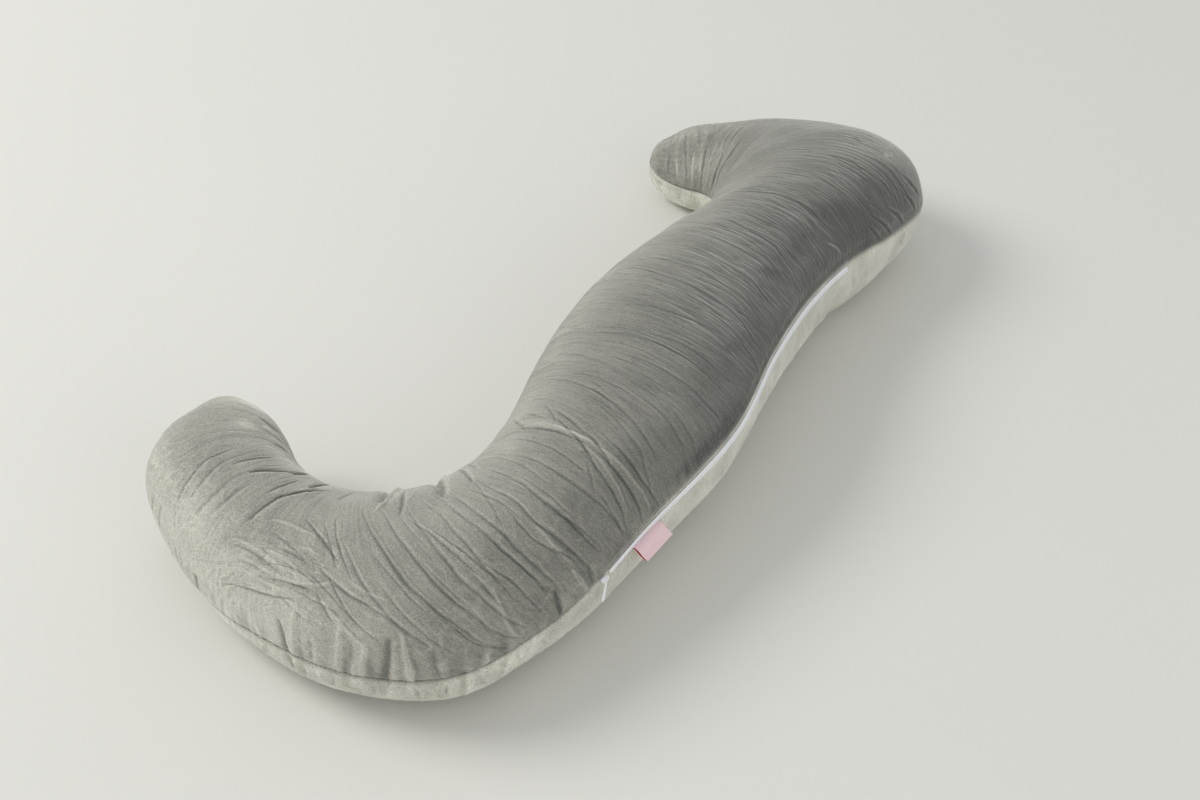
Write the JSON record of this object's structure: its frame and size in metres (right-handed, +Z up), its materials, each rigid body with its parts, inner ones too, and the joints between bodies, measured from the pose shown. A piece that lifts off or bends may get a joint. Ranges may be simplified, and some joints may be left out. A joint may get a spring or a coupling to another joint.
{
  "type": "body pillow",
  "caption": "Long filled body pillow bent in a loose C, with a wide hook at each end, a zip in the outer seam and a small folded label.",
  "frame": {"origin": "under the middle of the object's box, on the surface that the pillow lies on", "axes": "+Z up from the resting surface; +Y from the near hook towards the far hook; +X towards the zipped outer side of the body"},
  "size_m": [1.0341, 1.1005, 0.2254],
  "materials": {
    "velvet_cover": "short-pile plush velvet, grey above and pale warm grey below, brushed both ways",
    "zip_coil": "white nylon coil on a woven tape",
    "zip_slider": "white moulded, satin",
    "label_weave": "fine ribbed pale pink weave with a red reverse"
  },
  "bodies": {
    "root": {"cushion": "velvet_cover", "zip_strip": "zip_coil", "zip_slider": "zip_slider", "zip_puller": "zip_slider", "side_label": "label_weave"}
  },
  "joints": []
}
